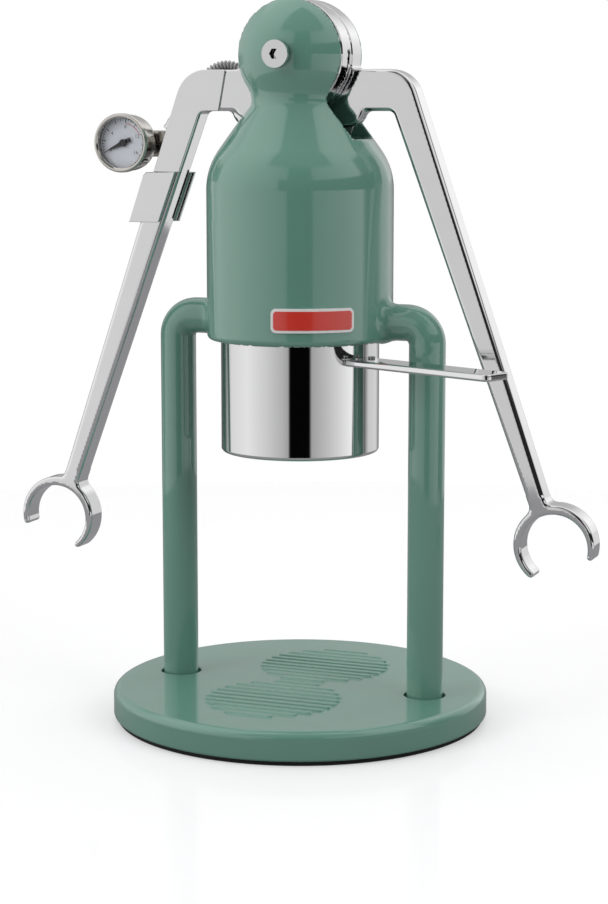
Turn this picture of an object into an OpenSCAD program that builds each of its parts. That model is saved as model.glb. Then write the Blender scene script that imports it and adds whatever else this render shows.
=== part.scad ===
// Two-lever hand-pressed espresso machine, arms down. Millimetres, +Z up, front is -Y.
// The origin is the centre of the underside of the round base.

/* [Base] */
// Diameter of the round base
base_d = 166; // [162:1:172]
// Height of the base's top face above the table
base_top_z = 14.4; // [13.8:0.2:16]
// Thickness of the rubber foot ring
foot_t = 1.9; // [1.5:0.1:2.4]

/* [Frame] */
// Distance between the centres of the two legs
leg_spacing = 117; // [114:1:120]
// Diameter of a leg
leg_d = 15.7; // [14:0.1:16.4]
// Outside diameter of the body
body_d = 81; // [80.6:0.2:83]
// Height of the body's lower edge above the table
body_z = 168.4; // [166:0.2:169]
// Height of the lever pivot above the table
pivot_z = 290; // [289:0.5:292]
// Radius of the rim of each round cheek at the head
cheek_r = 24; // [23.6:0.1:25]
// How far a cheek bulges beyond its rim
cheek_bulge = 13.4; // [12:0.1:14]
// Width of the slot that the levers work in
slot_w = 24; // [24:0.1:24.6]

/* [Levers] */
// Thickness of each lever, measured front to back
lever_t = 11.5; // [11:0.1:11.6]
// Distance from the pivot to the crank pin
crank_r = 30.9; // [30:0.1:31.4]
// Angle of the crank pin below the horizontal with the arms down
crank_down = 47; // [46:0.5:48]
// Length of a link between its two holes
link_len = 58.6; // [58:0.1:59]
// Inner radius of the open ring at the end of each arm
grip_r = 14.5; // [13.5:0.1:15]

/* [Portafilter] */
// Outside diameter of the portafilter
filter_d = 69; // [68:0.2:69.4]
// Height of the portafilter's lower edge above the table
filter_z = 119.3; // [118:0.1:121]
// Inside diameter of the basket
basket_d = 58; // [57.6:0.1:58]
// Direction of the handle, measured from straight ahead towards the right
handle_turn = 66.7; // [60:0.1:72]
// Distance from the centre to the end of the handle
handle_reach = 113; // [105:1:120]

/* [Gauge] */
// Diameter of the gauge's bezel
gauge_d = 25.6; // [24:0.2:26]
// Depth of the gauge from bezel to back
gauge_depth = 15; // [14:0.2:15.4]

/* [Hidden] */
$fn = 96;
eps = 0.05;

// Colours
sage = [0.44, 0.60, 0.53];
bright = [0.86, 0.86, 0.87];
steel = [0.66, 0.66, 0.67];
brass = [0.75, 0.62, 0.36];
black = [0.07, 0.07, 0.07];

// Base
base_r = base_d / 2;
base_edge_r = 3.6;
leg_r = leg_d / 2;
leg_x = leg_spacing / 2;
leg_seat_z = 9;
leg_hole_gap = 1.2;
leg_screw_r = 3;
leg_screw_head_r = 5;
leg_screw_head_top = 5.5;
leg_screw_head_t = 3.2;
leg_screw_l = 17;
leg_socket_r = 2.9;
leg_socket_depth = 2.4;
base_chamfer = 1.2;
foot_inset = 1.6;
foot_w = 14;
rib_field_r = 29.5;
rib_field_y = 31;
rib_pitch = 5.5;
rib_w = 2.7;
rib_h = 0.8;

// Body
body_r = body_d / 2;
elbow_r = 12.5;
arm_z = 177;
shoulder_fillet = 29.5;
shoulder_z = 232.9;
cone_angle = 35.2;
neck_r = 19.2;
neck_z = 272;
cone_top_r = 22.4;
cone_top_z = 268.2;
slot_floor_z = 254.7;
bore_r = 37.9;
chamber_top_z = 198.5;
link_pocket_w = 13;
link_pocket_floor = 205;
guide_r = 9;
rod_r = 6;
bolt_r = 4;
bolt_seat = slot_w / 2 + cheek_bulge - 0.7;
bolt_head_r = 5.8;
bolt_head_t = 4.1;
bolt_socket_r = 2.4;
bolt_split = 6;
badge_from = 4.4;
badge_to = 55.1;
badge_z0 = 174.6;
badge_z1 = 184.9;

// Levers, drawn in a plane with the pivot at [0, 0] and the arm on the positive side
hub_r = cheek_r - 0.2;
lever_gap = 0.2;
neck_top = -6;
neck_under = -23.6;
bend_r = 14;
inner_bend_r = 3;
outer_at = 46.8;
outer_slope = 0.345;
inner_at = 32.94;
inner_slope = 0.376;
arm_end_v = -193;
grip_c = [115.4, -206.7];
arm_dir = [0.34, -0.94];
grip_cover = 120;
grip_out_r = grip_r + 3.2;
tip_r = 1.35;
crank = [crank_r * cos(crank_down), -crank_r * sin(crank_down)];
lobe_r = 8;
pin_r = 3;
inner_tine = 2.3;
link_slot = 2.2;
link_t = 1.8;
link_half_w = 4.8;
link_head_r = 7.4;
bush_r = 5.3;
relief = 1.6;
relief_r = 28.9;
bush_l = lever_t - inner_tine - link_slot;
lift = 90;

// Crosshead and piston
cross_z = pivot_z + crank[1] - sqrt(link_len * link_len - crank[0] * crank[0]);
link_tilt = asin(crank[0] / link_len);
raised = [crank_r * cos(lift - crank_down), crank_r * sin(lift - crank_down)];
raised_tilt = asin(raised[0] / link_len);
eye_r = 7;
eye_t = 4.8;
head_z = 142.5;
head_top_z = 153.5;
web_z = 148.5;
rod_z = web_z + 2;
seal_r = basket_d / 2 - 0.08;
seal_z = head_z + 2;
seal_t = 6;
groove_r = 25.5;
screw_r = 2.5;
screw_len = 14;
skirt_in_r = 19;
rod_socket = 8;

// Portafilter
filter_r = filter_d / 2;
filter_top_z = 190;
filter_in_r = 30.6;
lug_r = 37.3;
lug_z = 177.2;
lug_t = 5;
lug_span = 30;
lug_turn = 60;
ring_z = 170;
ring_t = 7;
ring_in_r = 34.9;
handle_w = 15;
handle_t = 3;
handle_z = 159.4;
handle_root = 2.4;
handle_corner = 3;
rivet_r = 1.5;
rivet_t = 0.8;
basket_r = basket_d / 2;
basket_wall = 0.8;
basket_z = 124.4;
screen_z = 139.6;

// Gauge, on the outer edge of the left arm
gauge_x = -76.5;
gauge_z = 252.7;
gauge_front = -20;
gauge_r = gauge_d / 2;
gauge_back = gauge_front + gauge_depth;
block_z0 = 246.5;
block_z1 = 258;
block_y0 = -2.6;
block_y1 = 6;
block_x = -82.5;
zero_mark = 204;

// Hose behind the left arm
hose_y = 2.5;
hose_r = 1.8;
fitting_x = -29.3;
fitting_z = 279.2;
clip_screw_z = 229;
guard_r = 2.5;
guard_bend = 12.3;
guard_c = [-35.4, 273.5];
guard_from = 56;
guard_to = 128;
// Route from the end of the spring guard down the arm's edge to the ferrule, [x, z]
hose_route = [
  [-28.5, 283.7], [-31.6, 285.2], [-35.4, 285.8], [-39.2, 285.2], [-42.6, 283.5],
  [-46.5, 281.1], [-50.4, 278.5], [-53.6, 275.5], [-56.3, 271.8], [-58.8, 267.6],
  [-61.0, 263.2], [-62.3, 260]
];

// Points of an arc about [cx, cy]
function arc(cx, cy, r, a0, a1, n) =
  [for (i = [0:n]) [cx + r * cos(a0 + (a1 - a0) * i / n), cy + r * sin(a0 + (a1 - a0) * i / n)]];
function heading(a) = [cos(a), sin(a)];

// Turn a drawing in the XZ plane into a solid that runs from y0 back to y1
module in_depth(y0, y1) {
  translate([0, y1, 0]) rotate([90, 0, 0]) linear_extrude(y1 - y0) children();
}

// Cylinder along Y
module rod_y(x, z, r, y0, y1) {
  translate([x, y1, z]) rotate([90, 0, 0]) cylinder(r = r, h = y1 - y0);
}

// Round solid about Z from y pairs [radius, height]
module turned(points) {
  rotate_extrude() polygon(points);
}

// ---- Base ----

module cup_ribs(cy) {
  for (i = [-5:5]) {
    y = i * rib_pitch;
    half = sqrt(rib_field_r * rib_field_r - y * y) - rib_w / 2;
    for (side = [-1, 1]) {
      translate([side * half, cy + y, base_top_z]) cylinder(r = rib_w / 2, h = rib_h, $fn = 32);
    }
    translate([-half, cy + y - rib_w / 2, base_top_z]) cube([2 * half, rib_w, rib_h]);
  }
}

module base_plate() {
  color(sage) difference() {
    union() {
      turned(concat(
        [[0, foot_t], [base_r - base_chamfer, foot_t], [base_r, foot_t + base_chamfer]],
        arc(base_r - base_edge_r, base_top_z - base_edge_r, base_edge_r, 0, 90, 8),
        [[0, base_top_z]]
      ));
      for (side = [-1, 1]) cup_ribs(side * rib_field_y);
    }
    for (side = [-1, 1]) translate([side * leg_x, 0, 0]) {
      translate([0, 0, leg_seat_z]) cylinder(r = leg_r + leg_hole_gap, h = base_top_z);
      cylinder(r = leg_screw_r + 0.2, h = base_top_z);
      cylinder(r = leg_screw_head_r + 0.6, h = leg_screw_head_top);
    }
  }
}

module base_foot() {
  foot_r = base_r - foot_inset;
  color(black) difference() {
    cylinder(r = foot_r, h = foot_t);
    translate([0, 0, -1]) cylinder(r = foot_r - foot_w, h = foot_t + 2);
  }
}

// ---- Frame ----

module leg(side) {
  color(sage) difference() {
    union() {
      translate([side * leg_x, 0, leg_seat_z]) cylinder(r = leg_r, h = arm_z - elbow_r - leg_seat_z);
      translate([side * (leg_x - elbow_r), 0, arm_z - elbow_r]) rotate([90, 0, 0])
        mirror([side < 0 ? 1 : 0, 0, 0])
        intersection() {
          rotate_extrude() translate([elbow_r, 0]) circle(r = leg_r);
          translate([0, 0, -leg_d]) cube([leg_d * 2, leg_d * 2, leg_d * 2]);
        }
      translate([side * 30, 0, arm_z]) rotate([0, side * 90, 0])
        cylinder(r = leg_r, h = leg_x - elbow_r - 30);
    }
    translate([0, 0, body_z - 30]) cylinder(r = body_r + eps / 5, h = 80);
    translate([side * leg_x, 0, 0]) cylinder(r = leg_screw_r, h = 24);
  }
}

module left_leg() { leg(-1); }
module right_leg() { leg(1); }

module leg_screws() {
  color(steel) for (side = [-1, 1]) translate([side * leg_x, 0, 0]) difference() {
    union() {
      translate([0, 0, leg_screw_head_top - leg_screw_head_t])
        cylinder(r = leg_screw_head_r, h = leg_screw_head_t);
      translate([0, 0, leg_screw_head_top]) cylinder(r = leg_screw_r, h = leg_screw_l);
    }
    translate([0, 0, leg_screw_head_top - leg_screw_head_t - 1])
      cylinder(r = leg_socket_r, h = leg_socket_depth + 1, $fn = 6);
  }
}

// Body: a cylinder whose shoulders run up a cone to a slim neck
module body_outline() {
  edge_r = 2.4;
  turned(concat(
    [[0, body_z], [body_r - edge_r, body_z]],
    arc(body_r - edge_r, body_z + edge_r, edge_r, -90, 0, 5),
    arc(body_r - shoulder_fillet, shoulder_z, shoulder_fillet, 0, cone_angle, 8),
    [[cone_top_r, cone_top_z - 1], [cone_top_r - 1.4, cone_top_z + 1.2], [neck_r + 0.2, neck_z - 1]],
    [[neck_r, neck_z + 1], [neck_r, neck_z + 4], [0, neck_z + 4]]
  ));
}

// Head: the part common to two spheres set back from each other
module head_lens() {
  ball_r = (cheek_r * cheek_r + cheek_bulge * cheek_bulge) / (2 * cheek_bulge);
  shift = ball_r - cheek_bulge - slot_w / 2;
  intersection() {
    translate([0, shift, pivot_z]) sphere(r = ball_r);
    translate([0, -shift, pivot_z]) sphere(r = ball_r);
  }
}

module body_casting() {
  color(sage) difference() {
    union() {
      body_outline();
      head_lens();
    }
    translate([-60, -slot_w / 2, slot_floor_z]) cube([120, slot_w, 80]);
    in_depth(-link_pocket_w / 2, link_pocket_w / 2)
      polygon([[-28, slot_floor_z + 1], [-13, link_pocket_floor], [13, link_pocket_floor],
        [28, slot_floor_z + 1]]);
    translate([0, 0, body_z - 1]) cylinder(r = bore_r, h = chamber_top_z - body_z + 1);
    translate([0, 0, body_z - 1]) cylinder(r = guide_r, h = link_pocket_floor - body_z + 1);
    rod_y(0, pivot_z, bolt_r + 0.05, -40, 40);
    rod_y(0, pivot_z, bolt_head_r + 0.3, -40, -bolt_seat);
    rod_y(0, pivot_z, bolt_head_r + 0.3, bolt_seat, 40);
  }
}

module band(r0, r1, z0, z1, a0, a1) {
  steps = 8;
  translate([0, 0, z0]) linear_extrude(z1 - z0) difference() {
    intersection() {
      circle(r = r1, $fn = 180);
      polygon(concat([[0, 0]], arc(0, 0, 60, a0, a1, steps)));
    }
    circle(r = r0, $fn = 180);
  }
}

module badge_frame() {
  color([0.92, 0.92, 0.90]) difference() {
    band(body_r + eps / 5, body_r + 1.1, badge_z0, badge_z1, badge_from - 90, badge_to - 90);
    band(body_r - 1, body_r + 2, badge_z0 + 1.1, badge_z1 - 1.1, badge_from - 88.5, badge_to - 91.5);
  }
}

module badge_face() {
  color([0.85, 0.22, 0.19])
    band(body_r + eps / 5, body_r + 0.8, badge_z0 + 1.15, badge_z1 - 1.15, badge_from - 88.4,
      badge_to - 91.6);
}

module bayonet_ring() {
  color(steel) difference() {
    translate([0, 0, ring_z]) cylinder(r = bore_r, h = ring_t);
    translate([0, 0, ring_z - 1]) cylinder(r = ring_in_r, h = ring_t + 2);
    for (i = [0:2]) band(30, lug_r + 0.3, ring_z - 1, ring_z + ring_t + 1,
      handle_turn - 90 - lug_turn + 120 * i - lug_span / 2 - 3,
      handle_turn - 90 - lug_turn + 120 * i + lug_span / 2 + 3);
  }
}

module rod_guide() {
  color(brass) translate([0, 0, chamber_top_z]) difference() {
    cylinder(r = guide_r, h = link_pocket_floor - chamber_top_z);
    translate([0, 0, -1]) cylinder(r = rod_r + 0.06, h = 20);
  }
}

module pivot_bolt() {
  color(bright) difference() {
    union() {
      rod_y(0, pivot_z, bolt_head_r, -bolt_seat - bolt_head_t, -bolt_seat);
      rod_y(0, pivot_z, bolt_r, -bolt_seat, bolt_seat - bolt_split);
    }
    translate([0, -bolt_seat - 1.4, pivot_z]) rotate([90, 0, 0])
      cylinder(r = bolt_socket_r, h = 6, $fn = 6);
  }
}

module pivot_nut() {
  color(bright) difference() {
    union() {
      rod_y(0, pivot_z, bolt_head_r, bolt_seat, bolt_seat + bolt_head_t);
      rod_y(0, pivot_z, bolt_r, bolt_seat - bolt_split + 2 * eps, bolt_seat);
    }
    translate([0, bolt_seat + 8, pivot_z]) rotate([90, 0, 0])
      cylinder(r = bolt_socket_r, h = 6.6, $fn = 6);
  }
}

// ---- Levers ----

// Outline of the neck and arm
module arm_outline() {
  corner = outer_at - outer_slope * neck_top;
  arm_angle = atan(1 / outer_slope);
  cut = bend_r * tan(arm_angle / 2);
  inner_angle = atan(1 / inner_slope);
  inner_corner = inner_at - inner_slope * neck_under;
  inner_cut = inner_bend_r * tan(inner_angle / 2);
  polygon(concat(
    [[0, neck_under], [0, neck_top]],
    arc(corner - cut, neck_top - bend_r, bend_r, 90, 90 - arm_angle, 8),
    [[outer_at - outer_slope * arm_end_v, arm_end_v], [inner_at - inner_slope * arm_end_v, arm_end_v]],
    arc(inner_corner - inner_cut, neck_under - inner_bend_r, inner_bend_r, 90 - inner_angle, 90, 5)
  ));
}

// Hub, neck and arm; the arm ends in an open ring that is thicker at its root than at its tips
module lever_blank(y0, y1) {
  opening = atan2(arm_dir[1], arm_dir[0]);
  half = 180 - grip_cover;
  ring_c = grip_c - 0.9 * arm_dir;
  fillet = [27.19, -2.5];
  fillet_r = 3.5;
  difference() {
    union() {
      rod_y(0, 0, hub_r, y0, y1);
      rod_y(crank[0], crank[1], lobe_r, y0, y1);
      in_depth(y0, y1) arm_outline();
      rod_y(ring_c[0], ring_c[1], grip_out_r, y0, y1);
      in_depth(y0, y1) polygon(concat([[20, -2.2], [20, -8], [fillet[0], -8]],
        arc(fillet[0], fillet[1], fillet_r, 270, 174.8, 6)));
    }
    rod_y(grip_c[0], grip_c[1], grip_r, y0 - 1, y1 + 1);
    in_depth(y0 - 1, y1 + 1) translate(grip_c)
      polygon(concat([[0, 0]], arc(0, 0, 40, opening - half, opening + half, 8)));
  }
  for (side = [-1, 1]) {
    tip = grip_c + (grip_r + tip_r) * heading(opening + side * half);
    rod_y(tip[0], tip[1], tip_r, y0, y1);
  }
}

// Space that the link sweeps inside the lever while the arm rises
module link_sweep() {
  reach = 70;
  low = heading(270 - link_tilt);
  high = heading(270 - lift - raised_tilt);
  up = [high[1], -high[0]];
  down = [-low[1], low[0]];
  half = link_half_w + 0.4;
  translate(crank) circle(r = lobe_r + 1);
  polygon([
    crank + half * up, crank + half * up + reach * high, crank + 1.3 * reach * heading(200),
    crank + half * down + reach * low, crank + half * down
  ]);
}

// The right lever; the left one is its mirror image turned about Z
module lever() {
  y0 = lever_gap;
  y1 = lever_gap + lever_t;
  color(bright) translate([0, 0, pivot_z]) difference() {
    lever_blank(y0, y1);
    in_depth(y0 + inner_tine, y0 + inner_tine + link_slot) link_sweep();
    rod_y(0, 0, bolt_r + 0.06, -1, 20);
    rod_y(0, 0, bush_r, y0 + inner_tine + link_slot, 20);
    rod_y(crank[0], crank[1], pin_r, -1, 20);
    in_depth(y0 - 1, y0 + relief) difference() {
      polygon(concat([[0, 0]], arc(0, 0, relief_r, -38, 30, 8)));
      circle(r = hub_r);
    }
  }
}

module turned_about() { rotate([0, 0, 180]) children(); }

module lever_bush() {
  color(brass) translate([0, 0, pivot_z]) difference() {
    rod_y(0, 0, bush_r, lever_gap + lever_t - bush_l, lever_gap + lever_t);
    rod_y(0, 0, bolt_r + 0.05, -1, 20);
  }
}

module crank_pin() {
  color(steel) rod_y(crank[0], pivot_z + crank[1], pin_r, lever_gap + 0.2, lever_gap + lever_t - 0.3);
}

module link_outline() {
  circle(r = link_head_r);
  translate([0, -link_len]) circle(r = link_half_w);
  translate([-link_half_w, -link_len]) square([2 * link_half_w, link_len]);
}

module link() {
  y0 = lever_gap + inner_tine + (link_slot - link_t) / 2;
  color(steel) translate([crank[0], 0, pivot_z + crank[1]]) rotate([0, link_tilt, 0])
    difference() {
      in_depth(y0, y0 + link_t) link_outline();
      rod_y(0, 0, pin_r + 0.06, -1, 20);
      rod_y(0, -link_len, pin_r + 0.06, -1, 20);
    }
}

module right_lever() { lever(); }
module left_lever() { turned_about() lever(); }
module right_bush() { lever_bush(); }
module left_bush() { turned_about() lever_bush(); }
module right_crank_pin() { crank_pin(); }
module left_crank_pin() { turned_about() crank_pin(); }
module right_link() { link(); }
module left_link() { turned_about() link(); }

// ---- Pieces on the left lever ----

arm_front = -lever_gap - lever_t;
clip_z0 = 218.3;
clip_z1 = 240;
function outer_x(z) = -(outer_at - outer_slope * (z - pivot_z));
function inner_x(z) = -(inner_at - inner_slope * (z - pivot_z));

module hose_cover() {
  seam_top = -28.4;
  seam_low = -32.7;
  color(bright) in_depth(arm_front - 1, arm_front - eps / 5) intersection() {
    translate([0, pivot_z]) mirror([1, 0]) arm_outline();
    polygon([[seam_top, pivot_z], [seam_low - 0.3, pivot_z + neck_under - 1], [-40, clip_z1 + 0.1],
      [-90, clip_z1 + 0.1], [-90, pivot_z]]);
  }
}

// Clip that grips the arm from its outer edge
module hose_clip() {
  z0 = clip_z0;
  z1 = clip_z1;
  over = 4.2;
  web = 1.5;
  color(bright) {
    in_depth(arm_front - 2, arm_front - eps / 5)
      polygon([[outer_x(z0) - over, z0], [inner_x(z0) - 1.5, z0], [inner_x(z1) - 1.5, z1],
        [outer_x(z1) - over + 1, z1], [outer_x(z1) - over - 0.4, z1 - 1.4]]);
    in_depth(-lever_gap + eps / 5, -lever_gap + 2)
      polygon([[outer_x(z0) - over, z0], [inner_x(z0) + 2, z0], [inner_x(z1) + 2, z1],
        [outer_x(z1) - over + 1, z1], [outer_x(z1) - over - 0.4, z1 - 1.4]]);
    in_depth(arm_front - 1, -lever_gap + 1)
      polygon([[outer_x(z0) - over, z0], [outer_x(z0) - over + web, z0],
        [outer_x(z1) - over + web + 0.6, z1], [outer_x(z1) - over + 1, z1],
        [outer_x(z1) - over - 0.4, z1 - 1.4]]);
  }
}

module clip_screw() {
  x = (outer_x(clip_screw_z) + inner_x(clip_screw_z)) / 2;
  color(steel) difference() {
    rod_y(x, clip_screw_z, 2.6, -lever_gap + 2 + eps / 5, -lever_gap + 3.6);
    translate([x, 6, clip_screw_z]) rotate([90, 0, 0]) cylinder(r = 1.4, h = 3.4, $fn = 6);
  }
}

module hose_fitting() {
  color(steel) {
    rod_y(fitting_x, fitting_z, 3.4, -lever_gap + eps / 5, 5.2);
    translate([fitting_x, hose_y, fitting_z]) cylinder(r = 2.4, h = 4);
  }
}

module guard_arc(r, from, to) {
  translate([guard_c[0], hose_y, guard_c[1]]) rotate([90, 0, 0])
    rotate([0, 0, from]) rotate_extrude(angle = to - from) translate([guard_bend, 0]) circle(r = r);
}

module spring_guard() {
  color(steel) difference() {
    guard_arc(guard_r, guard_from + 6, guard_to);
    guard_arc(hose_r + 0.02, guard_from, guard_to + 4);
  }
}

// Tube swept along points in the XZ plane
module swept(route, r, sides) {
  last = len(route) - 1;
  function tangent(i) = route[min(i + 1, last)] - route[max(i - 1, 0)];
  rings = [for (i = [0:last]) let (t = tangent(i) / norm(tangent(i)))
    for (k = [0:sides - 1]) let (a = 360 * k / sides)
      [route[i][0] - t[1] * r * cos(a), hose_y + r * sin(a), route[i][1] + t[0] * r * cos(a)]];
  sides_faces = [for (i = [0:last - 1]) for (k = [0:sides - 1]) let (n = (k + 1) % sides)
    [i * sides + k, i * sides + n, (i + 1) * sides + n, (i + 1) * sides + k]];
  polyhedron(rings, concat(
    sides_faces,
    [[for (k = [sides - 1:-1:0]) k], [for (k = [0:sides - 1]) last * sides + k]]
  ));
}

module gauge_hose() {
  color([0.80, 0.80, 0.79]) swept(hose_route, hose_r - 0.05, 10);
}

module hose_ferrule() {
  tilt = 22.5;
  color(bright) intersection() {
    translate([-62.9, hose_y, block_z1]) rotate([0, tilt, 0]) translate([0, 0, -3])
      cylinder(r1 = 3.5, r2 = 2.2, h = 11.5);
    translate([-90, -10, block_z1 + eps / 5]) cube([60, 30, 20]);
  }
}

module gauge_block() {
  color(steel) in_depth(block_y0, block_y1)
    polygon([[block_x, block_z0], [outer_x(block_z0) - eps, block_z0],
      [outer_x(block_z1) - eps, block_z1], [block_x, block_z1]]);
}

module gauge_nut() {
  color(steel) translate([gauge_x, block_y0 - eps / 5, gauge_z]) rotate([90, 0, 0])
    cylinder(r = 5, h = block_y0 - gauge_back - 2 * eps / 5, $fn = 6);
}

// Round solid about the gauge's axis, points are [radius, distance behind the front]
module gauge_turned(points) {
  translate([gauge_x, gauge_front, gauge_z]) rotate([-90, 0, 0]) rotate_extrude() polygon(points);
}

module gauge_case() {
  r = gauge_r - 0.6;
  d = gauge_depth;
  color(bright) gauge_turned(concat(
    [[r, 3.2]],
    arc(r - 5, d - 5, 5, 0, 90, 6),
    [[0, d], [0, d - 1]],
    arc(r - 5, d - 5, 4, 90, 0, 6),
    [[r - 1, 3.2]]
  ));
}

module gauge_bezel() {
  r = gauge_r;
  color(bright) gauge_turned([[r - 1.9, 0.5], [r - 1.2, 0], [r - 0.6, 0], [r, 0.8], [r, 3.15],
    [r - 1.3, 3.15], [r - 1.3, 2.2], [r - 1.9, 2.2]]);
}

module gauge_lens() {
  color([0.8, 0.85, 0.9, 0.4]) gauge_turned([[0, 1.6], [gauge_r - 1.95, 1.6],
    [gauge_r - 1.95, 2.15], [0, 2.15]]);
}

module gauge_dial() {
  color([0.82, 0.85, 0.92]) gauge_turned([[0.7, 4.2], [gauge_r - 1.7, 4.2], [gauge_r - 1.7, 4.6],
    [0.7, 4.6]]);
}

module bourdon_tube() {
  color(brass) translate([gauge_x, gauge_front + 9, gauge_z]) rotate([-90, 0, 0])
    rotate([0, 0, -60]) rotate_extrude(angle = 270) translate([7.6, 0]) circle(r = 1.1, $fn = 32);
}

module gauge_movement() {
  color(brass) gauge_turned([[0.7, 6.2], [5, 6.2], [5, 7.2], [0.7, 7.2]]);
}

module gauge_needle() {
  tip = 8.6;
  tail = 3.8;
  color([0.2, 0.2, 0.22]) {
    translate([gauge_x, 0, gauge_z]) rotate([0, -zero_mark, 0])
      in_depth(gauge_front + 3.1, gauge_front + 3.4)
      polygon([[-tail, 0.9], [0, 1.1], [tip, 0.15], [tip, -0.15], [0, -1.1], [-tail, -0.9]]);
    rod_y(gauge_x, gauge_z, 1.6, gauge_front + 2.7, gauge_front + 3.9);
    rod_y(gauge_x, gauge_z, 0.5, gauge_front + 3.5, gauge_front + 8);
  }
}

// ---- Piston ----

module piston_rod() {
  round_top = cross_z - eye_r - 1;
  color(steel) difference() {
    union() {
      translate([0, 0, rod_z]) cylinder(r = rod_r, h = round_top - rod_z);
      intersection() {
        translate([0, 0, round_top - 2]) cylinder(r = rod_r, h = 8);
        translate([-20, -eye_t / 2, 0]) cube([40, eye_t, 300]);
      }
      rod_y(0, cross_z, eye_r, -eye_t / 2, eye_t / 2);
    }
    rod_y(0, cross_z, pin_r, -20, 20);
    translate([0, 0, rod_z - 1]) cylinder(r = screw_r, h = screw_len);
  }
}

module crosshead_pin() {
  color(steel) rod_y(0, cross_z, pin_r, -eye_t / 2, eye_t / 2);
}

module piston_head() {
  color(steel) difference() {
    translate([0, 0, head_z]) cylinder(r = basket_r - 0.6, h = head_top_z - head_z);
    translate([0, 0, head_z - 1]) cylinder(r = skirt_in_r, h = web_z - head_z + 1);
    translate([0, 0, seal_z]) difference() {
      cylinder(r = 40, h = seal_t);
      translate([0, 0, -1]) cylinder(r = groove_r, h = seal_t + 2);
    }
    translate([0, 0, rod_z]) cylinder(r = rod_r, h = rod_socket);
    translate([0, 0, head_z]) cylinder(r = screw_r + 0.1, h = 20);
  }
}

module piston_seal() {
  color([0.75, 0.12, 0.10]) translate([0, 0, seal_z]) difference() {
    cylinder(r = seal_r, h = seal_t);
    translate([0, 0, -1]) cylinder(r = groove_r, h = seal_t + 2);
  }
}

module piston_screw() {
  screw_head_t = 2.8;
  color(steel) difference() {
    union() {
      translate([0, 0, web_z - screw_head_t]) cylinder(r = 4.5, h = screw_head_t);
      translate([0, 0, web_z]) cylinder(r = screw_r, h = screw_len);
    }
    translate([0, 0, web_z - screw_head_t - 1]) cylinder(r = 2, h = 2.8, $fn = 6);
  }
}

// ---- Portafilter ----

module handle_bar(grow) {
  rotate([0, 0, handle_turn - 90]) translate([0, 0, handle_z - grow]) {
    linear_extrude(handle_t + 2 * grow) {
      translate([filter_r - handle_root, -handle_w / 2 - grow])
        square([handle_reach - filter_r + handle_root - handle_corner, handle_w + 2 * grow]);
      translate([handle_reach - handle_corner - 1, -handle_w / 2 + handle_corner])
        square([handle_corner + 1, handle_w - 2 * handle_corner]);
      for (side = [-1, 1])
        translate([handle_reach - handle_corner, side * (handle_w / 2 - handle_corner)])
        circle(r = handle_corner, $fn = 32);
    }
  }
}

module portafilter_body() {
  color(bright) difference() {
    union() {
      turned(concat(
        arc(filter_r - 1.3, filter_z + 1.3, 1.3, -90, 0, 4),
        [[filter_r, filter_top_z], [filter_in_r, filter_top_z], [filter_in_r, filter_z + 3]],
        [[filter_in_r - 0.8, filter_z + 1.6], [filter_in_r - 0.8, filter_z]]
      ));
      for (i = [0:2]) band(filter_r - 1, lug_r, lug_z, lug_z + lug_t,
        handle_turn - 90 + 120 * i - lug_span / 2, handle_turn - 90 + 120 * i + lug_span / 2);
    }
    handle_bar(eps / 5);
  }
}

module portafilter_handle() {
  color(bright) handle_bar(0);
}

module handle_rivets() {
  color(steel) rotate([0, 0, handle_turn - 90]) for (side = [-1, 1])
    translate([filter_r + 4.5, side * 4.2, handle_z + handle_t + eps / 5])
    cylinder(r = rivet_r, h = rivet_t, $fn = 32);
}

module basket() {
  holes = 3;
  pitch = 6.5;
  hole_r = 0.8;
  color(steel) difference() {
    turned([
      [0, basket_z], [basket_r - 2, basket_z], [basket_r + basket_wall, basket_z + 3],
      [basket_r + basket_wall, filter_top_z + eps / 5], [filter_r - 2, filter_top_z + eps / 5],
      [filter_r - 2, filter_top_z + 1.2], [basket_r, filter_top_z + 1.2], [basket_r, basket_z + 3.4],
      [basket_r - 2.6, basket_z + 0.9], [0, basket_z + 0.9]
    ]);
    for (i = [-holes:holes]) for (j = [-holes:holes]) if (abs(i + j) <= holes)
      translate([(i + j / 2) * pitch, j * pitch * sin(60), basket_z - 1])
      cylinder(r = hole_r, h = 3, $fn = 16);
  }
}

module dispersion_screen() {
  color(steel) translate([0, 0, screen_z]) difference() {
    cylinder(r = basket_r - 0.4, h = 1);
    translate([0, 0, -1]) cylinder(r = 2, h = 3);
  }
}

module screen_stem() {
  color([0.85, 0.15, 0.12]) translate([0, 0, screen_z])
    turned([[0, 0], [2, 0], [2, 1], [3.4, 1], [3.4, 2.5], [2.2, 2.5], [2.2, 5.1], [0, 5.1]]);
}

base_plate();
base_foot();
left_leg();
right_leg();
leg_screws();
body_casting();
badge_frame();
badge_face();
bayonet_ring();
rod_guide();
pivot_bolt();
pivot_nut();
left_lever();
left_bush();
left_crank_pin();
hose_cover();
hose_clip();
clip_screw();
hose_fitting();
spring_guard();
gauge_hose();
hose_ferrule();
gauge_block();
gauge_nut();
gauge_case();
gauge_bezel();
gauge_lens();
gauge_dial();
bourdon_tube();
gauge_movement();
gauge_needle();
right_lever();
right_bush();
right_crank_pin();
left_link();
right_link();
piston_rod();
crosshead_pin();
piston_head();
piston_seal();
piston_screw();
portafilter_body();
portafilter_handle();
handle_rivets();
basket();
dispersion_screen();
screen_stem();
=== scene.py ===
import math

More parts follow.
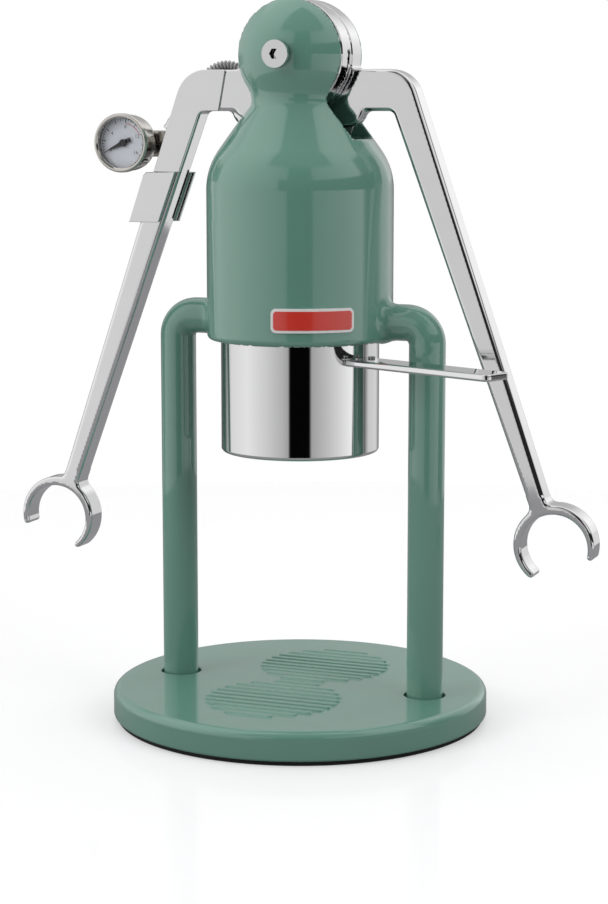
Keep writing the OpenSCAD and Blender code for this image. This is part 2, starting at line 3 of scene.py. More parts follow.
import bpy
import numpy as np
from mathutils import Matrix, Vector


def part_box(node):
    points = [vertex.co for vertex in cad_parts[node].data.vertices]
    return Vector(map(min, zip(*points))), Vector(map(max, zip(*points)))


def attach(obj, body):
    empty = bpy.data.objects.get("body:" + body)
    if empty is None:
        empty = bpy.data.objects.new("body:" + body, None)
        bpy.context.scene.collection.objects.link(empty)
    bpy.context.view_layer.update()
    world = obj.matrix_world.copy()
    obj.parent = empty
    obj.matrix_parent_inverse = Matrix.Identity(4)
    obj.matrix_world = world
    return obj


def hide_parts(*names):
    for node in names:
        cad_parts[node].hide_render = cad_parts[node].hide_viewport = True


bl_info = {
    "name": "Lever espresso machine",
    "version": (1, 0, 0),
    "blender": (4, 5, 0),
    "location": "View3D > Sidebar > Espresso",
    "description": "Builds the looks of a hand-pressed espresso machine around its packed frame",
    "category": "Object",
}

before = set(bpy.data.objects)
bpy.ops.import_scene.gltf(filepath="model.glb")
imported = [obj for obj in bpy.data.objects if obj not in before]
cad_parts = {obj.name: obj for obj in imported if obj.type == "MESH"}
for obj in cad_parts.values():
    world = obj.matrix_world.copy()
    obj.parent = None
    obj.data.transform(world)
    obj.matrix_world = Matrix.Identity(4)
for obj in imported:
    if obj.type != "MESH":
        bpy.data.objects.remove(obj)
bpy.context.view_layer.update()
MM = 0.001


def cad_box(node):
    """Lowest and highest corner of a node of the frame, in millimetres."""
    low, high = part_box(node)
    return np.array(low) / MM, np.array(high) / MM


BASE_LOW, BASE_HIGH = cad_box("base_plate")
FOOT_HIGH = cad_box("base_foot")[1]
BODY_LOW, BODY_HIGH = cad_box("body_casting")
LEG_LOW, LEG_HIGH = cad_box("right_leg")
LEVER_LOW, LEVER_HIGH = cad_box("right_lever")
FILTER_LOW, FILTER_HIGH = cad_box("portafilter_body")
BEZEL_LOW, BEZEL_HIGH = cad_box("gauge_bezel")
CASE_HIGH = cad_box("gauge_case")[1]
BADGE_LOW, BADGE_HIGH = cad_box("badge_frame")

# Sizes below are in millimetres, in the frame of the packed pieces.

# Base
BASE_TOP = 14.4
RIB_TOP = BASE_HIGH[2]
RIB_FIELD_Y = 31
RIB_FIELD_R = 29.5
RIB_PITCH = 5.5
RIB_HALF = 1.35
LEG_SEAT_Z = 9
FOOT_WIDTH = 14

# Body, head and legs
BODY_R = 40.5
BODY_Z = BODY_LOW[2]
SHOULDER_R = 29.5
SHOULDER_Z = 232.9
CONE_LEAN = math.radians(35.2)
NECK_R = 19.3
CHEEK_R = 24.0
CHEEK_BULGE = 13.4
SLOT_HALF = 12.0
SLOT_FLOOR = 254.7
LEG_X = 58.5
LEG_R = LEG_HIGH[1]
ARM_Z = 177.0
ELBOW_R = 9.0
BORE_R = 37.9
CHAMBER_TOP = 198.5
POCKET_HALF = 6.5
POCKET_FLOOR = 205
POCKET_X, POCKET_SLOPE = 13, 0.2959
GUIDE_R = 9

# Pivot of the levers
PIVOT_Z = 290.0
BOLT_R = 4.05
BOLT_RECESS_R = 6.2
BOLT_RECESS_Y = SLOT_HALF + 12.7

# Levers; each edge of an arm is straight, given by how far out it is at the pivot's height and its slope
LEVER_BACK = LEVER_HIGH[1]
LEVER_FRONT = LEVER_LOW[1]
HUB_R = 23.8
LEVER_BORE_R = 4.06
OUTER_AT, OUTER_SLOPE = 46.8, 0.345
INNER_AT, INNER_SLOPE = 32.94, 0.376
NECK_TOP, NECK_UNDER = -6, -23.6
BEND_R, INNER_BEND_R = 14, 3
ARM_END = -193
ARM_DIR = np.array([0.34, -0.94]) / math.hypot(0.34, 0.94)
GRIP = (115.4, -206.7)
GRIP_R = 14.5
TIP_R = 1.35

# Crank of a lever, and the slot that its link sweeps from one end of the stroke to the other
CRANK = (21.0735, -22.5988)
LOBE_R = 8
LOBE_STEP = 3.8
LOBE_DEPTH = 6.0
LINK_DOWN, LINK_UP = math.radians(270 - 21.08), math.radians(180 - 22.68)
LINK_HALF = 5.2
LINK_REACH = 70
LINK_SLOT_MIDDLE = 3.4
LINK_SLOT_HALF = 1.1

# Portafilter
FILTER_R = 34.5
FILTER_IN_R = 30.6
LUG_R = 37.3
LUG_ROOT_R = 33.8
LUG_LOW, LUG_HIGH = 177.3, 182.1
HANDLE_TURN = math.radians(66.7 - 90)
HANDLE_ROOT, HANDLE_REACH = 32.1, 113
HANDLE_HALF = 7.5
HANDLE_CORNER = 3
HANDLE_LOW, HANDLE_HIGH = 159.4, 162.4

# Badge and gauge
BADGE_START, BADGE_END = math.radians(4.4 - 90), math.radians(55.1 - 90)
GAUGE = ((BEZEL_LOW[0] + BEZEL_HIGH[0]) / 2, BEZEL_LOW[1], (BEZEL_LOW[2] + BEZEL_HIGH[2]) / 2)
ZERO_MARK = 204
SCALE_SWEEP = 240

# Camera, in metres
CAMERA_AT = (0.3554, -0.8862, 0.2661)


# ---- Shapes as distance fields, in millimetres ----

def join(a, b, k):
    """Union of two fields with a soft blend of size k."""
    h = np.clip(0.5 + 0.5 * (b - a) / k, 0, 1)
    return b * (1 - h) + a * h - k * h * (1 - h)


def common(a, b, r):
    """Intersection of two fields with an edge of radius r."""
    return np.minimum(np.maximum(a, b), -r) + np.hypot(np.maximum(a + r, 0), np.maximum(b + r, 0))


def cut(a, b, r):
    """Field a less field b, with an edge of radius r."""
    return common(a, -b, r)


def slab(outline, across, low, high, r):
    """A drawing's field given thickness from low to high, with edges of radius r."""
    return common(outline, np.abs(across - (low + high) / 2) - (high - low) / 2, r)


def polygon(u, v, points):
    """Signed distance to a closed polygon."""
    near = np.full(np.broadcast(u, v).shape, 1e9)
    inside = np.zeros(near.shape, bool)
    for (ax, ay), (bx, by) in zip(points, points[1:] + points[:1]):
        ex, ey = bx - ax, by - ay
        wx, wy = u - ax, v - ay
        t = np.clip((wx * ex + wy * ey) / max(ex * ex + ey * ey, 1e-9), 0, 1)
        near = np.minimum(near, (wx - ex * t) ** 2 + (wy - ey * t) ** 2)
        if ay != by:
            crosses = ((ay > v) != (by > v)) & (u < ex * (v - ay) / ey + ax)
            inside = inside ^ crosses
    near = np.sqrt(near)
    return np.where(inside, -near, near)


def arc(cx, cy, r, start, end, n):
    """Points on an arc, angles in degrees."""
    turns = [math.radians(start + (end - start) * i / n) for i in range(n + 1)]
    return [(cx + r * math.cos(a), cy + r * math.sin(a)) for a in turns]


def surface(field, low, high, step):
    """Vertices, quads and normals of the zero surface of a field inside a box."""
    step = np.array(step, float)
    axes = [np.arange(low[i] - 2 * step[i], high[i] + 3 * step[i], step[i]) for i in range(3)]
    shape = [len(a) for a in axes]
    value = np.array(np.broadcast_to(field(*np.meshgrid(*axes, indexing="ij", sparse=True)), shape))
    cells = [n - 1 for n in shape]
    total, place, edges = np.zeros(cells), np.zeros(cells + [3]), []
    for axis in range(3):
        b, c = (axis + 1) % 3, (axis + 2) % 3
        near = np.moveaxis(value, (axis, b, c), (0, 1, 2))
        v0, v1 = near[:-1], near[1:]
        crossed = (v0 < 0) != (v1 < 0)
        t = np.where(crossed, v0 / np.where(crossed, v0 - v1, 1), 0)
        edges.append((crossed, v0 < 0))
        for ob in (0, 1):
            for oc in (0, 1):
                part = (slice(None), slice(ob, cells[b] + ob), slice(oc, cells[c] + oc))
                m, along = crossed[part].astype(float), t[part]
                back = lambda q: np.moveaxis(q, (0, 1, 2), (axis, b, c))
                total += back(m)
                place[..., axis] += back(m * along)
                place[..., b] += back(m * ob)
                place[..., c] += back(m * oc)
    mixed = total > 0
    index = np.full(cells, -1)
    index[mixed] = np.arange(int(mixed.sum()))
    where = np.argwhere(mixed)
    points = np.array([a[0] for a in axes]) + step * (where + place[mixed] / total[mixed][:, None])
    quads = []
    for axis in range(3):
        b, c = (axis + 1) % 3, (axis + 2) % 3
        crossed, low_in = edges[axis]
        i, j, k = np.nonzero(crossed[:, 1:-1, 1:-1])
        j, k = j + 1, k + 1
        ring = np.moveaxis(index, (axis, b, c), (0, 1, 2))
        quad = np.stack([ring[i, j - 1, k - 1], ring[i, j, k - 1], ring[i, j, k], ring[i, j - 1, k]], 1)
        flip = ~low_in[i, j, k]
        quad[flip] = quad[flip][:, ::-1]
        quads.append(quad)
    for _ in range(4):
        distance, normals = slope(field, points)
        move = np.clip(distance, -0.45 * step.min(), 0.45 * step.min())
        points = points - move[:, None] * normals
    return points, np.concatenate(quads), slope(field, points)[1]


def slope(field, points, reach=0.12):
    """Value and unit gradient of a field at points."""
    x, y, z = points.T
    g = np.stack([
        field(x + reach, y, z) - field(x - reach, y, z),
        field(x, y + reach, z) - field(x, y - reach, z),
        field(x, y, z + reach) - field(x, y, z - reach),
    ], 1)
    return field(x, y, z), g / np.maximum(np.linalg.norm(g, axis=1), 1e-9)[:, None]


# ---- Meshes ----

def place(name, points, faces, body, slot, look, replaced=(), normals=None, sharp=32):
    """A mesh from points in millimetres, riding on a body of the frame."""
    faces = np.asarray(faces)
    mesh = bpy.data.meshes.new(name)
    mesh.vertices.add(len(points))
    mesh.vertices.foreach_set("co", (np.asarray(points, float) * MM).astype(np.float32).ravel())
    sides = faces.shape[1]
    mesh.loops.add(faces.size)
    mesh.loops.foreach_set("vertex_index", faces.ravel().astype(np.int32))
    mesh.polygons.add(len(faces))
    mesh.polygons.foreach_set("loop_start", np.arange(0, faces.size, sides, dtype=np.int32))
    mesh.update(calc_edges=True)
    mesh.shade_smooth()
    if normals is None:
        mesh.set_sharp_from_angle(angle=math.radians(sharp))
    else:
        mesh.normals_split_custom_set_from_vertices(np.asarray(normals, np.float32))
    mesh.materials.append(LOOKS[look])
    obj = bpy.data.objects.new(name, mesh)
    bpy.context.scene.collection.objects.link(obj)
    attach(obj, body)
    if replaced:
        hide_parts(*replaced)
    return obj


def grid_faces(rows, columns, closed_rows=False):
    """Quads between rows of points, each row holding a ring of columns."""
    out = []
    for i in range(rows if closed_rows else rows - 1):
        for k in range(columns):
            a, b = i * columns, (i + 1) % rows * columns
            n = (k + 1) % columns
            out.append((a + k, a + n, b + n, b + k))
    return out


def rounded(points):
    """Outline whose corners (a, b, radius) are turned into arcs."""
    out = []
    count = len(points)
    for i, (a, b, r) in enumerate(points):
        here = np.array([a, b], float)
        if r <= 0:
            out.append(tuple(here))
            continue
        back = np.array(points[i - 1][:2]) - here
        ahead = np.array(points[(i + 1) % count][:2]) - here
        back, ahead = back / np.linalg.norm(back), ahead / np.linalg.norm(ahead)
        half = math.acos(max(-1, min(1, float(back @ ahead)))) / 2
        reach = r / math.tan(half)
        middle = back + ahead
        centre = here + middle / np.linalg.norm(middle) * r / math.sin(half)
        first, last = here + back * reach - centre, here + ahead * reach - centre
        start = math.atan2(first[1], first[0])
        turn = (math.atan2(last[1], last[0]) - start + math.pi) % (2 * math.pi) - math.pi
        for s in range(7):
            angle = start + turn * s / 6
            out.append((centre[0] + r * math.cos(angle), centre[1] + r * math.sin(angle)))
    return out


def steadied(outline):
    """Closed outline with a point added near each end of its long sides, so that flats shade flat."""
    out = []
    for (a, b), (c, d) in zip(outline, outline[1:] + outline[:1]):
        out.append((a, b))
        size = math.hypot(c - a, d - b)
        if size > 1.2:
            out += [(a + (c - a) * t, b + (d - b) * t) for t in (0.2 / size, 1 - 0.2 / size)]
    return out


def lathe(outline, centre=(0, 0, 0), axis="z", sides=160):
    """Points and quads of a closed outline (radius, height) turned about an axis."""
    outline = steadied(outline)
    points = []
    for r, h in outline:
        for k in range(sides):
            a = 2 * math.pi * k / sides
            c, s = max(r, 0.001) * math.cos(a), max(r, 0.001) * math.sin(a)
            local = (c, s, h) if axis == "z" else (c, h, -s)
            points.append([centre[i] + local[i] for i in range(3)])
    return points, grid_faces(len(outline), sides, closed_rows=True)


def tube(path, radius, sides=12):
    """Points and quads of a tube along a path, radius a number or one for each point, with closed ends."""
    path = np.asarray(path, float)
    ahead = np.gradient(path, axis=0)
    ahead /= np.linalg.norm(ahead, axis=1)[:, None]
    radius = np.broadcast_to(radius, len(path))
    side = np.cross(ahead[0], (0.0, 1.0, 0.001))
    points = []
    for p, t, r in zip(path, ahead, radius):
        side = side - t * (side @ t)
        side /= np.linalg.norm(side)
        up = np.cross(t, side)
        for k in range(sides):
            a = 2 * math.pi * k / sides
            points.append(p + r * (side * math.cos(a) + up * math.sin(a)))
    faces = grid_faces(len(path), sides)
    last = (len(path) - 1) * sides
    for k in range(1, sides // 2):
        faces.append((k - 1, sides - k, sides - k - 1, k))
        faces.append((last + k - 1, last + k, last + sides - k - 1, last + sides - k))
    return points, faces


def smooth_path(points, n):
    """Catmull-Rom curve through points."""
    p = np.asarray(points, float)
    p = np.concatenate([[2 * p[0] - p[1]], p, [2 * p[-1] - p[-2]]])
    out = []
    for i in range(1, len(p) - 2):
        for s in range(n):
            t = s / n
            out.append(0.5 * (2 * p[i] + (p[i + 1] - p[i - 1]) * t
                              + (2 * p[i - 1] - 5 * p[i] + 4 * p[i + 1] - p[i + 2]) * t * t
                              + (3 * p[i] - p[i - 1] - 3 * p[i + 1] + p[i + 2]) * t ** 3))
    out.append(p[-2])
    return np.array(out)


# ---- Materials ----

LOOKS = {}


def node(tree, kind, at, values=None, **settings):
    """A shader node with its settings and unlinked socket values."""
    made = tree.nodes.new(kind)
    made.location = at
    for key, value in settings.items():
        setattr(made, key, value)
    for key, value in (values or {}).items():
        made.inputs[key].default_value = value
    return made


def ramp(tree, at, stops, interpolation="LINEAR"):
    """A colour ramp from (position, grey or colour) stops."""
    made = node(tree, "ShaderNodeValToRGB", at)
    made.color_ramp.interpolation = interpolation
    line = made.color_ramp.elements
    while len(line) > 1:
        line.remove(line[-1])
    for i, (position, shade) in enumerate(stops):
        spot = line[0] if i == 0 else line.new(position)
        spot.position = position
        spot.color = (*shade, 1) if isinstance(shade, tuple) else (shade, shade, shade, 1)
    return made


def finish_of(name, colour, rough, grain=40.0, bump=0.02, vary=0.06, stretch=(1, 1, 1), **values):
    """Principled material with uneven colour, uneven roughness and a fine raised grain."""
    made = bpy.data.materials.new("look_" + name)
    made.use_nodes = True
    LOOKS[name] = made
    tree = made.node_tree
    tree.nodes.clear()
    out = node(tree, "ShaderNodeOutputMaterial", (700, 0))
    shader = node(tree, "ShaderNodeBsdfPrincipled", (400, 0), values)
    where = node(tree, "ShaderNodeTexCoord", (-900, 0))
    scale = node(tree, "ShaderNodeMapping", (-700, 0), {"Scale": stretch})
    broad = node(tree, "ShaderNodeTexNoise", (-500, 200), {"Scale": grain, "Detail": 4.0})
    fine = node(tree, "ShaderNodeTexNoise", (-500, -200), {"Scale": grain * 18, "Detail": 3.0})
    dark = tuple(c * (1 - vary) for c in colour)
    light = tuple(min(1, c * (1 + vary)) for c in colour)
    tint = ramp(tree, (-250, 250), [(0.3, dark), (0.7, light)])
    uneven = ramp(tree, (-250, 0), [(0.25, max(0.02, rough * 0.8)), (0.75, min(1, rough * 1.25))])
    raised = node(tree, "ShaderNodeBump", (-250, -250), {"Strength": bump, "Distance": 0.0004})
    link = tree.links.new
    link(where.outputs["Object"], scale.inputs["Vector"])
    link(scale.outputs["Vector"], broad.inputs["Vector"])
    link(scale.outputs["Vector"], fine.inputs["Vector"])
    link(broad.outputs["Fac"], tint.inputs["Fac"])
    link(broad.outputs["Fac"], uneven.inputs["Fac"])
    link(fine.outputs["Fac"], raised.inputs["Height"])
    link(tint.outputs["Color"], shader.inputs["Base Color"])
    link(uneven.outputs["Color"], shader.inputs["Roughness"])
    link(raised.outputs["Normal"], shader.inputs["Normal"])
    link(shader.outputs["BSDF"], out.inputs["Surface"])


def make_materials(look):
    """Every material of the machine."""
    sage = tuple(look.paint)
    metal = tuple(look.metal)
    coat = {"Coat Weight": 1.0, "Coat Roughness": 0.04, "Coat IOR": 1.7, "Specular IOR Level": 0.25}
    finish_of("sage_paint", sage, 0.38, 30, 0.035, 0.015, **coat)
    finish_of("polished_alloy", metal, look.polish, 22, 0.004, 0.01, (1, 1, 6), Metallic=1.0)
    duller = tuple(c * 0.93 for c in metal)
    finish_of("polished_steel", duller, look.polish * 0.6, 18, 0.002, 0.01, Metallic=1.0)
    finish_of("stainless", (0.52, 0.52, 0.53), 0.27, 60, 0.12, 0.04, (1, 1, 9),
              Metallic=1.0, Anisotropic=0.4)
    finish_of("spring_steel", (0.34, 0.34, 0.35), 0.10, 40, 0.01, 0.04, Metallic=1.0)
    finish_of("gauge_steel", (0.60, 0.58, 0.545), 0.12, 40, 0.01, 0.03, Metallic=1.0)
    finish_of("brass", (0.64, 0.46, 0.20), 0.28, 60, 0.10, 0.06, (1, 1, 7), Metallic=1.0)
    finish_of("black_rubber", (0.022, 0.022, 0.023), 0.72, 90, 0.5, 0.2, **{"Specular IOR Level": 0.3})
    finish_of("red_silicone", (0.62, 0.02, 0.015), 0.42, 60, 0.12, 0.05,
              **{"Sheen Weight": 0.1})
    finish_of("badge_border", (0.84, 0.84, 0.83), 0.22, 40, 0.03, 0.02,
              **{"Coat Weight": 0.6, "Coat Roughness": 0.08})
    finish_of("badge_red", tuple(look.badge), 0.26, 40, 0.03, 0.03,
              **{"Coat Weight": 0.8, "Coat Roughness": 0.06})
    finish_of("dial_plate", (0.88, 0.92, 1.0), 0.5, 80, 0.05, 0.02)
    finish_of("needle_black", (0.03, 0.03, 0.035), 0.4, 80, 0.1, 0.1)
    finish_of("dial_ink", (0.05, 0.05, 0.07), 0.5, 80, 0.05, 0.1)
    finish_of("dial_arc", (0.66, 0.20, 0.20), 0.5, 80, 0.05, 0.06)
    finish_of("hose_grey", (0.62, 0.62, 0.60), 0.36, 120, 0.4, 0.10, (1, 1, 3), **{"Coat Weight": 0.2})
    finish_of("gauge_glass", (1.0, 1.0, 1.0), 0.02, 20, 0.004, 0.0,
              **{"Transmission Weight": 1.0, "IOR": 1.06})


# ---- Fields of the cast pieces ----

def casting_field(x, y, z):
    """Body, head and legs of the painted casting."""
    blend = bpy.context.scene.espresso_body.blend / MM
    r = np.hypot(x, y)
    a, b = r - BODY_R + SHOULDER_R, z - SHOULDER_Z
    turn = np.arctan2(b, a)
    side = np.maximum(a + 0 * b, a * math.cos(CONE_LEAN) + b * math.sin(CONE_LEAN))
    body = np.where((turn > 0) & (turn < CONE_LEAN), np.hypot(a, b), side) - SHOULDER_R
    body = common(body, BODY_Z - z, 2.4)
    neck = np.maximum(r - NECK_R, np.abs(z - 262) - 18)
    ball = (CHEEK_R ** 2 + CHEEK_BULGE ** 2) / (2 * CHEEK_BULGE)
    shift = ball - CHEEK_BULGE - SLOT_HALF
    far = np.sqrt(x * x + (z - PIVOT_Z) ** 2 + (np.abs(y) + shift) ** 2)
    head = far - ball
    upper = join(join(body, neck, 3.5), head, 4.5)
    px = np.abs(x)
    ex, ez = LEG_X - ELBOW_R, ARM_Z - ELBOW_R
    bend = np.abs(np.hypot(px - ex, z - ez) - ELBOW_R)
    line = np.where(px < ex, np.abs(z - ARM_Z) + 0 * px, np.abs(px - LEG_X) + 0 * z)
    line = np.where((px >= ex) & (z > ez), bend, line)
    legs = np.maximum(np.hypot(line, y) - LEG_R, 9.2 - z)
    whole = join(upper, legs, blend)
    slot = np.maximum(np.abs(y) - SLOT_HALF, SLOT_FLOOR - z)
    whole = cut(whole, slot, 0.9)
    pocket_side = px - POCKET_X - (z - POCKET_FLOOR) * POCKET_SLOPE
    pocket = np.maximum(np.maximum(np.abs(y) - POCKET_HALF, POCKET_FLOOR - z), pocket_side)
    whole = np.maximum(whole, -pocket)
    whole = cut(whole, np.maximum(r - BORE_R, z - CHAMBER_TOP), 0.8)
    whole = np.maximum(whole, -np.maximum(r - GUIDE_R, z - POCKET_FLOOR))
    pin = np.hypot(x, z - PIVOT_Z)
    whole = np.maximum(whole, -np.maximum(pin - BOLT_RECESS_R, BOLT_RECESS_Y - np.abs(y)))
    return np.maximum(whole, -(pin - BOLT_R + 0 * y))


def base_field(x, y, z):
    """Round base with two fields of ribs and a hole for each leg."""
    disc = common(common(np.hypot(x, y) - BASE_HIGH[0], z - BASE_TOP, 3.6), FOOT_HIGH[2] - z, 1.2)
    for centre in (-RIB_FIELD_Y, RIB_FIELD_Y):
        row = np.clip(np.round((y - centre) / RIB_PITCH), -5, 5) * RIB_PITCH
        half = np.sqrt(RIB_FIELD_R ** 2 - row ** 2) - RIB_HALF
        rib = np.hypot(np.maximum(np.abs(x) - half, 0), y - centre - row) - RIB_HALF
        disc = np.minimum(disc, np.maximum(common(rib, z - RIB_TOP, 0.6), BASE_TOP - 3 - z))
    hole = np.hypot(np.abs(x) - LEG_X, y) - LEG_R - 1.2
    return cut(disc, np.maximum(hole, LEG_SEAT_Z - z), 0.5)


def arm_points():
    """Outline of a lever's neck and arm, pivot at the origin."""
    turn, inner = math.atan(1 / OUTER_SLOPE), math.atan(1 / INNER_SLOPE)
    corner = OUTER_AT - OUTER_SLOPE * NECK_TOP
    reach = BEND_R * math.tan(turn / 2)
    low = INNER_AT - INNER_SLOPE * NECK_UNDER
    low_reach = INNER_BEND_R * math.tan(inner / 2)
    outer_end = (OUTER_AT - OUTER_SLOPE * ARM_END, ARM_END)
    inner_end = (INNER_AT - INNER_SLOPE * ARM_END, ARM_END)
    bend = arc(corner - reach, NECK_TOP - BEND_R, BEND_R, 90, 90 - math.degrees(turn), 24)
    inner_bend = arc(low - low_reach, NECK_UNDER - INNER_BEND_R, INNER_BEND_R,
                     90 - math.degrees(inner), 90, 10)
    return [(0, NECK_UNDER), (0, NECK_TOP)] + bend + [outer_end, inner_end] + inner_bend


ARM_POINTS = arm_points()


def lever_field(x, y, z):
    """Hub, arm and open ring of the right lever, with the slot that its link works in."""
    u, v = x, z - PIVOT_Z
    gu, gv = u - GRIP[0], v - GRIP[1]
    far = np.hypot(u, v)
    crank = np.hypot(u - CRANK[0], v - CRANK[1])
    lobe = LOBE_R - LOBE_STEP * np.clip((y - LEVER_FRONT - LOBE_DEPTH) / 0.8, 0, 1)
    hub = np.minimum(far - HUB_R, crank - lobe)
    ring = np.hypot(gu + 0.9 * ARM_DIR[0], gv + 0.9 * ARM_DIR[1]) - GRIP_R - 3.2
    outline = join(join(hub, polygon(u, v, ARM_POINTS), 2.5), ring, 3.0)
    outline = np.maximum(outline, GRIP_R - np.hypot(gu, gv))
    along = gu * ARM_DIR[0] + gv * ARM_DIR[1]
    beside = np.abs(gu * ARM_DIR[1] - gv * ARM_DIR[0])
    outline = np.maximum(outline, along * 0.866 - beside * 0.5)
    tip_at = GRIP_R + TIP_R
    tip = np.hypot(along - tip_at * 0.5, beside - tip_at * 0.866) - TIP_R
    outline = np.minimum(outline, tip)
    edge = bpy.context.scene.espresso_levers.edge / MM
    edge = 0.6 + (edge - 0.6) * np.clip((far - 25) / 10, 0, 1)
    edge = np.where(gv < 22, np.minimum(edge, 1.3 + 0 * gv), edge)
    whole = slab(outline, y, LEVER_FRONT, LEVER_BACK, edge)
    up, down = (math.sin(LINK_UP), -math.cos(LINK_UP)), (-math.sin(LINK_DOWN), math.cos(LINK_DOWN))
    cu, cv, far_u, far_v = CRANK[0], CRANK[1], math.cos(math.radians(200)), math.sin(math.radians(200))
    raised = (cu + LINK_HALF * up[0], cv + LINK_HALF * up[1])
    lowered = (cu + LINK_HALF * down[0], cv + LINK_HALF * down[1])
    sweep = [
        raised,
        (raised[0] + LINK_REACH * math.cos(LINK_UP), raised[1] + LINK_REACH * math.sin(LINK_UP)),
        (cu + 1.3 * LINK_REACH * far_u, cv + 1.3 * LINK_REACH * far_v),
        (lowered[0] + LINK_REACH * math.cos(LINK_DOWN), lowered[1] + LINK_REACH * math.sin(LINK_DOWN)),
        lowered,
    ]
    groove = np.minimum(crank - 9, polygon(u, v, sweep))
    groove = np.maximum(groove, np.abs(y - LEVER_FRONT - LINK_SLOT_MIDDLE) - LINK_SLOT_HALF)
    whole = np.maximum(whole, -groove)
    return np.maximum(whole, LEVER_BORE_R - far)


def handle_field(x, y, z):
    """Flat handle of the portafilter."""
    c, s = math.cos(HANDLE_TURN), math.sin(HANDLE_TURN)
    along, beside = x * c + y * s, y * c - x * s
    middle, half = (HANDLE_ROOT + HANDLE_REACH) / 2, (HANDLE_REACH - HANDLE_ROOT) / 2
    qx = np.abs(along - middle) - half + HANDLE_CORNER
    qy = np.abs(beside) - HANDLE_HALF + HANDLE_CORNER
    outside = np.hypot(np.maximum(qx, 0), np.maximum(qy, 0))
    outline = outside + np.minimum(np.maximum(qx, qy), 0) - HANDLE_CORNER
    outline = np.maximum(outline, FILTER_R - 0.1 - np.hypot(x, y))
    return slab(outline, z, HANDLE_LOW, HANDLE_HIGH, 0.9)


# ---- Settings ----

class ESPRESSO_PG_look(bpy.types.PropertyGroup):
    """Colours and finishes"""
    paint: bpy.props.FloatVectorProperty(
        name="Paint", description="Colour of the painted casting and base",
        default=(0.142, 0.322, 0.252), subtype="COLOR", min=0, max=1)
    metal: bpy.props.FloatVectorProperty(
        name="Polished metal", description="Colour of the polished levers",
        default=(0.74, 0.74, 0.745), subtype="COLOR", min=0, max=1)
    badge: bpy.props.FloatVectorProperty(
        name="Badge", description="Colour of the badge's face",
        default=(0.70, 0.045, 0.030), subtype="COLOR", min=0, max=1)
    polish: bpy.props.FloatProperty(
        name="Polish", description="Roughness of the polished levers",
        default=0.06, min=0.02, max=0.5, subtype="FACTOR")


class ESPRESSO_PG_body(bpy.types.PropertyGroup):
    """Painted casting and base"""
    blend: bpy.props.FloatProperty(
        name="Blend", description="Size of the soft blend between the legs and the body",
        default=0.005, min=0.001, max=0.01, unit="LENGTH")
    cell: bpy.props.FloatProperty(
        name="Cell", description="Size of the mesh's cells on the casting",
        default=0.0011, min=0.0006, max=0.004, unit="LENGTH")


class ESPRESSO_PG_levers(bpy.types.PropertyGroup):
    """Levers"""
    edge: bpy.props.FloatProperty(
        name="Edge", description="Radius of the arms' edges",
        default=0.0019, min=0.0006, max=0.004, unit="LENGTH")
    cell: bpy.props.FloatProperty(
        name="Cell", description="Size of the mesh's cells on the levers",
        default=0.0008, min=0.0005, max=0.003, unit="LENGTH")


class ESPRESSO_PG_stage(bpy.types.PropertyGroup):
    """Floor, light and camera"""
    lens: bpy.props.FloatProperty(
        name="Lens", description="Focal length of the camera in millimetres",
        default=87.49, min=20, max=300)
    brightness: bpy.props.FloatProperty(
        name="Brightness", description="Strength of the light from all round",
        default=1.0, min=0.1, max=4)


GROUPS = {
    "espresso_look": ESPRESSO_PG_look,
    "espresso_body": ESPRESSO_PG_body,
    "espresso_levers": ESPRESSO_PG_levers,
    "espresso_stage": ESPRESSO_PG_stage,
}


def coarse(size):
    return size / MM * 1.0


def dress(looks):
    """Gives nodes of the frame their materials, with softened edges where a width is given."""
    for name, (look, width) in looks.items():
        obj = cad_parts[name]
        obj.data.materials.clear()
        obj.data.materials.append(LOOKS[look])
        if width:
            weld = obj.modifiers.new("weld", "WELD")
            weld.merge_threshold = 0.00001
            bevel = obj.modifiers.new("edges", "BEVEL")
            bevel.width, bevel.segments, bevel.limit_method = width * MM, 2, "ANGLE"
            bevel.angle_limit = math.radians(40)
            bevel.harden_normals = True


# ---- Operators ----

class ESPRESSO_OT_materials(bpy.types.Operator):
    """Make the machine's materials"""
    bl_idname = "espresso.materials"
    bl_label = "Materials"

    def execute(self, context):
        make_materials(context.scene.espresso_look)
        return {"FINISHED"}


class ESPRESSO_OT_casting(bpy.types.Operator):
    """Build the painted body, head and legs as one blended casting"""
    bl_idname = "espresso.casting"
    bl_label = "Casting"

    def execute(self, context):
        cell = coarse(context.scene.espresso_body.cell)
        low = (-LEG_HIGH[0], BODY_LOW[1], LEG_LOW[2])
        high = (LEG_HIGH[0], BODY_HIGH[1], BODY_HIGH[2])
        points, faces, normals = surface(casting_field, low, high, (cell, cell, cell))
        place("casting", points, faces, "frame", "sage_paint", "sage_paint",
              ("body_casting", "left_leg", "right_leg"), normals)
        dress({"bayonet_ring": ("stainless", 0), "rod_guide": ("brass", 0), "leg_screws": ("stainless", 0),
               "pivot_bolt": ("polished_steel", 0.5), "pivot_nut": ("polished_steel", 0.5)})
        return {"FINISHED"}


class ESPRESSO_OT_base(bpy.types.Operator):
    """Build the round base with its ribs, and its rubber foot"""
    bl_idname = "espresso.base"
    bl_label = "Base"

    def execute(self, context):
        cell = coarse(0.0009)
        points, faces, normals = surface(base_field, BASE_LOW, BASE_HIGH, (cell, cell, cell * 0.42))
        place("base_disc", points, faces, "frame", "sage_paint", "sage_paint", ("base_plate",), normals)
        out, top = FOOT_HIGH[0], FOOT_HIGH[2]
        inner = out - FOOT_WIDTH
        ring = rounded([(inner, 0, 0.4), (out, 0, 0.5), (out, top, 0.3), (inner, top, 0.3)])
        points, faces = lathe(ring)
        place("rubber_foot", points, faces, "frame", "black_rubber", "black_rubber", ("base_foot",))
        return {"FINISHED"}


